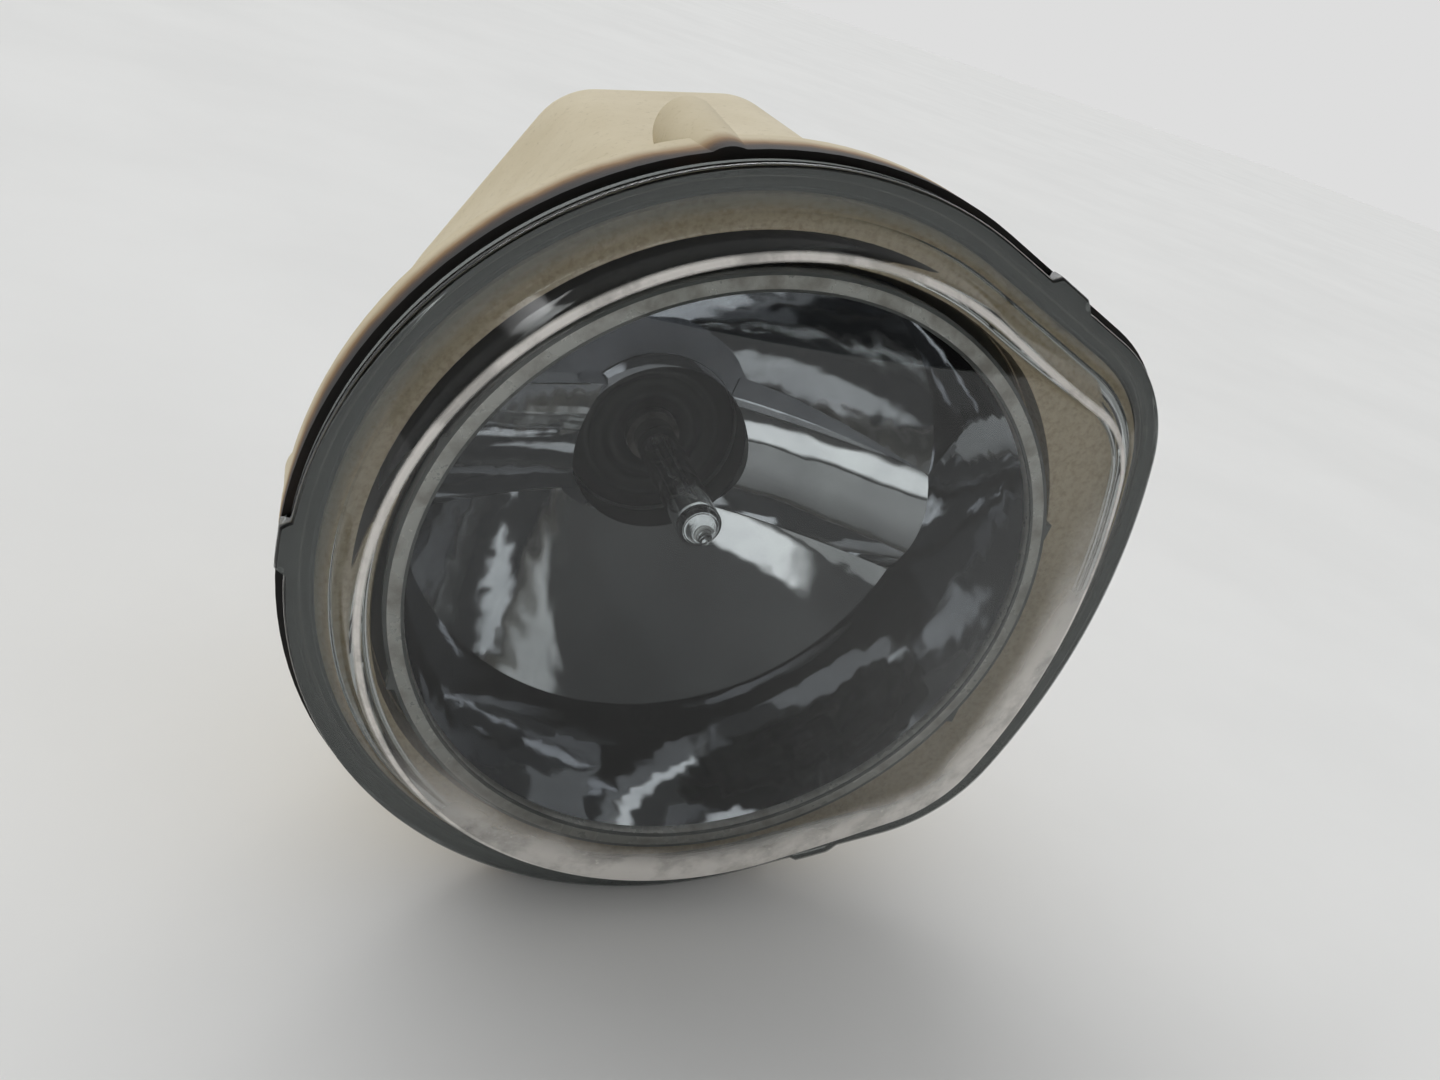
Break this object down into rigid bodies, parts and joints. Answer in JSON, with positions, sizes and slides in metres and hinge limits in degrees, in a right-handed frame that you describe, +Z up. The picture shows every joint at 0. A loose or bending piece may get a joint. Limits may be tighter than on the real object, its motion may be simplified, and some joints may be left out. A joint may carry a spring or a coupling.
{
  "type": "fog light",
  "caption": "Round fog light: D-sided domed glass lens on a moulded bucket housing, with a swivelling mirror bowl, a single-filament bulb, an aim adjuster and a push-on rear cap.",
  "frame": {"origin": "on the optical axis, in the plane of the rear faces of the three mounting sleeves", "axes": "-Y forwards along the optical axis out of the lens, +Z up with the lamp as mounted, +X towards the bulged side of the lens"},
  "size_m": [0.1454, 0.1123, 0.1398],
  "materials": {
    "housing": "cream moulded compound, faintly mottled",
    "lens": "pressed clear glass",
    "lens_sealant": "dark bonding bead",
    "mounting_inserts": "zinc plated",
    "tower_plugs": "black",
    "reflector": "vacuum-coated mirror",
    "pivot_studs": "bright steel",
    "pivot_sockets": "natural nylon",
    "bulb_carrier": "black",
    "bulb_glass": "quartz",
    "bulb_base": "stamped steel",
    "bulb_insulator": "dark ceramic-filled",
    "bulb_terminal": "tinned brass",
    "bulb_filament": "tungsten",
    "bulb_leads": "molybdenum wire",
    "bulb_clip": "spring wire",
    "clip_pin": "bright steel",
    "adjuster_screw": "zinc plated",
    "adjuster_bush": "natural nylon",
    "adjuster_knob": "black",
    "adjuster_ring": "spring steel",
    "adjuster_nut": "natural nylon",
    "rear_cap": "black",
    "cap_gasket": "black",
    "vent_elbow": "black",
    "vent_filter": "porous",
    "connector_socket": "black",
    "connector_terminals": "tinned brass"
  },
  "bodies": {
    "lamp_body": {"housing": "housing", "lens": "lens", "lens_sealant": "lens_sealant", "mounting_inserts": "mounting_inserts", "tower_plugs": "tower_plugs", "pivot_sockets": "pivot_sockets", "adjuster_bush": "adjuster_bush", "vent_elbow": "vent_elbow", "vent_filter": "vent_filter", "connector_socket": "connector_socket", "connector_terminals": "connector_terminals"},
    "mirror_unit": {"reflector": "reflector", "pivot_studs": "pivot_studs", "bulb_carrier": "bulb_carrier", "bulb_glass": "bulb_glass", "bulb_base": "bulb_base", "bulb_insulator": "bulb_insulator", "bulb_terminal": "bulb_terminal", "bulb_filament": "bulb_filament", "bulb_leads": "bulb_leads", "clip_pin": "clip_pin"},
    "clip": {"bulb_clip": "bulb_clip"},
    "screw_unit": {"adjuster_screw": "adjuster_screw", "adjuster_knob": "adjuster_knob", "adjuster_ring": "adjuster_ring"},
    "nut": {"adjuster_nut": "adjuster_nut"},
    "cap_unit": {"rear_cap": "rear_cap", "cap_gasket": "cap_gasket"}
  },
  "joints": [
    {"name": "mirror_tilt", "type": "hinge", "parent": "lamp_body", "child": "mirror_unit", "pos_m": [0, 0.0242, 0], "axis": [1, 0, 0], "range_deg": [-2.5, 2.5]},
    {"name": "nut_travel", "type": "slide", "parent": "lamp_body", "child": "nut", "axis": [0, 1, 0], "range_m": [-0.0023, 0.0023]},
    {"name": "screw_turn", "type": "hinge", "parent": "lamp_body", "child": "screw_unit", "pos_m": [0, 0.0242, 0.05], "axis": [0, 1, 0], "range_deg": [-534.1, 534.1]},
    {"name": "clip_swing", "type": "hinge", "parent": "mirror_unit", "child": "clip", "pos_m": [0, 0.0397, -0.0165], "axis": [-1, 0, 0], "range_deg": [0, 60]},
    {"name": "cap_pull", "type": "slide", "parent": "lamp_body", "child": "cap_unit", "axis": [0, 1, 0], "range_m": [0, 0.03]}
  ],
  "couplings": [
    {"joint": "nut_travel", "follows": "mirror_tilt", "m_per_rad": -0.05},
    {"joint": "screw_turn", "follows": "mirror_tilt", "ratio": 209.44}
  ]
}
